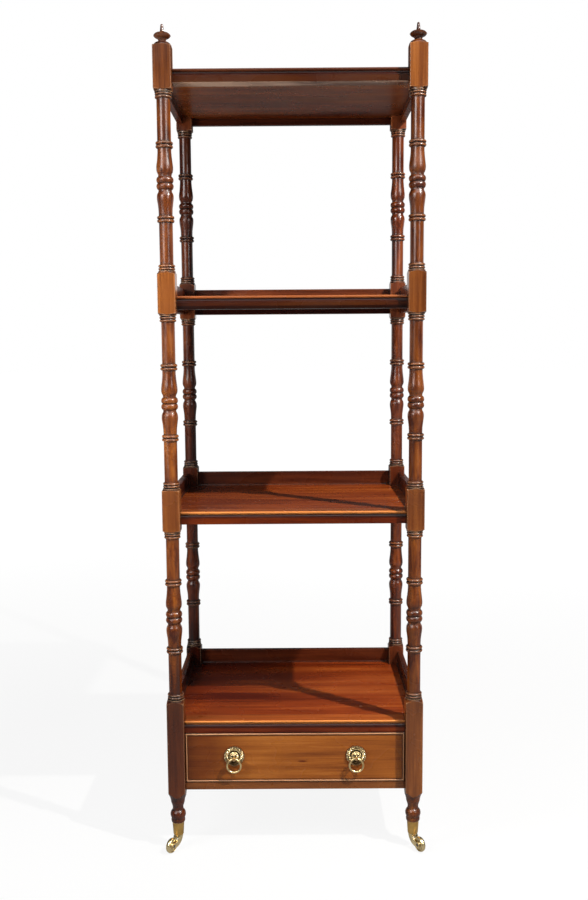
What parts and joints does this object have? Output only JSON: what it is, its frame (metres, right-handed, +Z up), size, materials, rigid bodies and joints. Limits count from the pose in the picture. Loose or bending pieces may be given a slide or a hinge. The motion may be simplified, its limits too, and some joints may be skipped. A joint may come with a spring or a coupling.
{
  "type": "etagere with drawer",
  "caption": "Tall open wooden shelf stand with turned corner posts, low galleries, moulded shelf edges, a base drawer with lion-mask ring pulls, and brass castors.",
  "frame": {"origin": "on the floor, at the middle of the footprint", "axes": "+Z up; the drawer opens towards -Y; +X is to the right of somebody facing the drawer"},
  "size_m": [0.4916, 0.399, 1.5209],
  "materials": {
    "mahogany": "polished",
    "drawer_lining": "plain, unpolished",
    "brass": "aged, lightly tarnished",
    "steel": "dull"
  },
  "bodies": {
    "case": {"post_front_left": "mahogany", "finial_front_left": "mahogany", "castor_cup_front_left": "brass", "post_front_right": "mahogany", "finial_front_right": "mahogany", "castor_cup_front_right": "brass", "post_back_left": "mahogany", "finial_back_left": "mahogany", "castor_cup_back_left": "brass", "post_back_right": "mahogany", "finial_back_right": "mahogany", "castor_cup_back_right": "brass", "shelf_base": "mahogany", "front_rail_base": "mahogany", "case_back_base": "mahogany", "case_left_base": "mahogany", "case_right_base": "mahogany", "shelf_lower": "mahogany", "front_rail_lower": "mahogany", "gallery_back_lower": "mahogany", "gallery_left_lower": "mahogany", "gallery_right_lower": "mahogany", "shelf_upper": "mahogany", "front_rail_upper": "mahogany", "gallery_back_upper": "mahogany", "gallery_left_upper": "mahogany", "gallery_right_upper": "mahogany", "shelf_top": "mahogany", "front_rail_top": "mahogany", "gallery_back_top": "mahogany", "gallery_left_top": "mahogany", "gallery_right_top": "mahogany", "bottom_rail": "mahogany", "drawer_runner_left": "drawer_lining", "drawer_runner_right": "drawer_lining", "drawer_kickers": "drawer_lining", "drawer_stops": "drawer_lining"},
    "drawer": {"drawer_front": "mahogany", "drawer_back": "drawer_lining", "drawer_bottom": "drawer_lining", "drawer_side_left": "drawer_lining", "drawer_side_right": "drawer_lining", "drawer_cock_beads": "mahogany", "pull_mask_left": "brass", "pull_mask_right": "brass", "pull_fixings": "steel"},
    "ring_left": {"pull_ring_left": "brass"},
    "ring_right": {"pull_ring_right": "brass"},
    "castor_front_left": {"castor_fork_front_left": "brass", "castor_axle_front_left": "steel"},
    "wheel_front_left": {"castor_wheel_front_left": "brass"},
    "castor_front_right": {"castor_fork_front_right": "brass", "castor_axle_front_right": "steel"},
    "wheel_front_right": {"castor_wheel_front_right": "brass"},
    "castor_back_left": {"castor_fork_back_left": "brass", "castor_axle_back_left": "steel"},
    "wheel_back_left": {"castor_wheel_back_left": "brass"},
    "castor_back_right": {"castor_fork_back_right": "brass", "castor_axle_back_right": "steel"},
    "wheel_back_right": {"castor_wheel_back_right": "brass"}
  },
  "joints": [
    {"name": "drawer_slide", "type": "slide", "parent": "case", "child": "drawer", "axis": [0, -1, 0], "range_m": [0, 0.25]},
    {"name": "ring_left_swing", "type": "hinge", "parent": "drawer", "child": "ring_left", "pos_m": [-0.116, -0.179, 0.1809], "axis": [-1, 0, 0], "range_deg": [-16, 150]},
    {"name": "ring_right_swing", "type": "hinge", "parent": "drawer", "child": "ring_right", "pos_m": [0.116, -0.179, 0.1809], "axis": [-1, 0, 0], "range_deg": [-16, 150]},
    {"name": "castor_front_left_swivel", "type": "hinge", "parent": "case", "child": "castor_front_left", "pos_m": [-0.225, -0.167, 0.0275], "axis": [0, 0, 1], "continuous": true},
    {"name": "wheel_front_left_spin", "type": "hinge", "parent": "castor_front_left", "child": "wheel_front_left", "pos_m": [-0.23625, -0.18649, 0.014], "axis": [0.866, -0.5, 0], "continuous": true},
    {"name": "castor_front_right_swivel", "type": "hinge", "parent": "case", "child": "castor_front_right", "pos_m": [0.225, -0.167, 0.0275], "axis": [0, 0, 1], "continuous": true},
    {"name": "wheel_front_right_spin", "type": "hinge", "parent": "castor_front_right", "child": "wheel_front_right", "pos_m": [0.23625, -0.18649, 0.014], "axis": [0.866, 0.5, 0], "continuous": true},
    {"name": "castor_back_left_swivel", "type": "hinge", "parent": "case", "child": "castor_back_left", "pos_m": [-0.225, 0.167, 0.0275], "axis": [0, 0, 1], "continuous": true},
    {"name": "wheel_back_left_spin", "type": "hinge", "parent": "castor_back_left", "child": "wheel_back_left", "pos_m": [-0.23625, 0.18649, 0.014], "axis": [-0.866, -0.5, 0], "continuous": true},
    {"name": "castor_back_right_swivel", "type": "hinge", "parent": "case", "child": "castor_back_right", "pos_m": [0.225, 0.167, 0.0275], "axis": [0, 0, 1], "continuous": true},
    {"name": "wheel_back_right_spin", "type": "hinge", "parent": "castor_back_right", "child": "wheel_back_right", "pos_m": [0.23625, 0.18649, 0.014], "axis": [-0.866, 0.5, 0], "continuous": true}
  ]
}
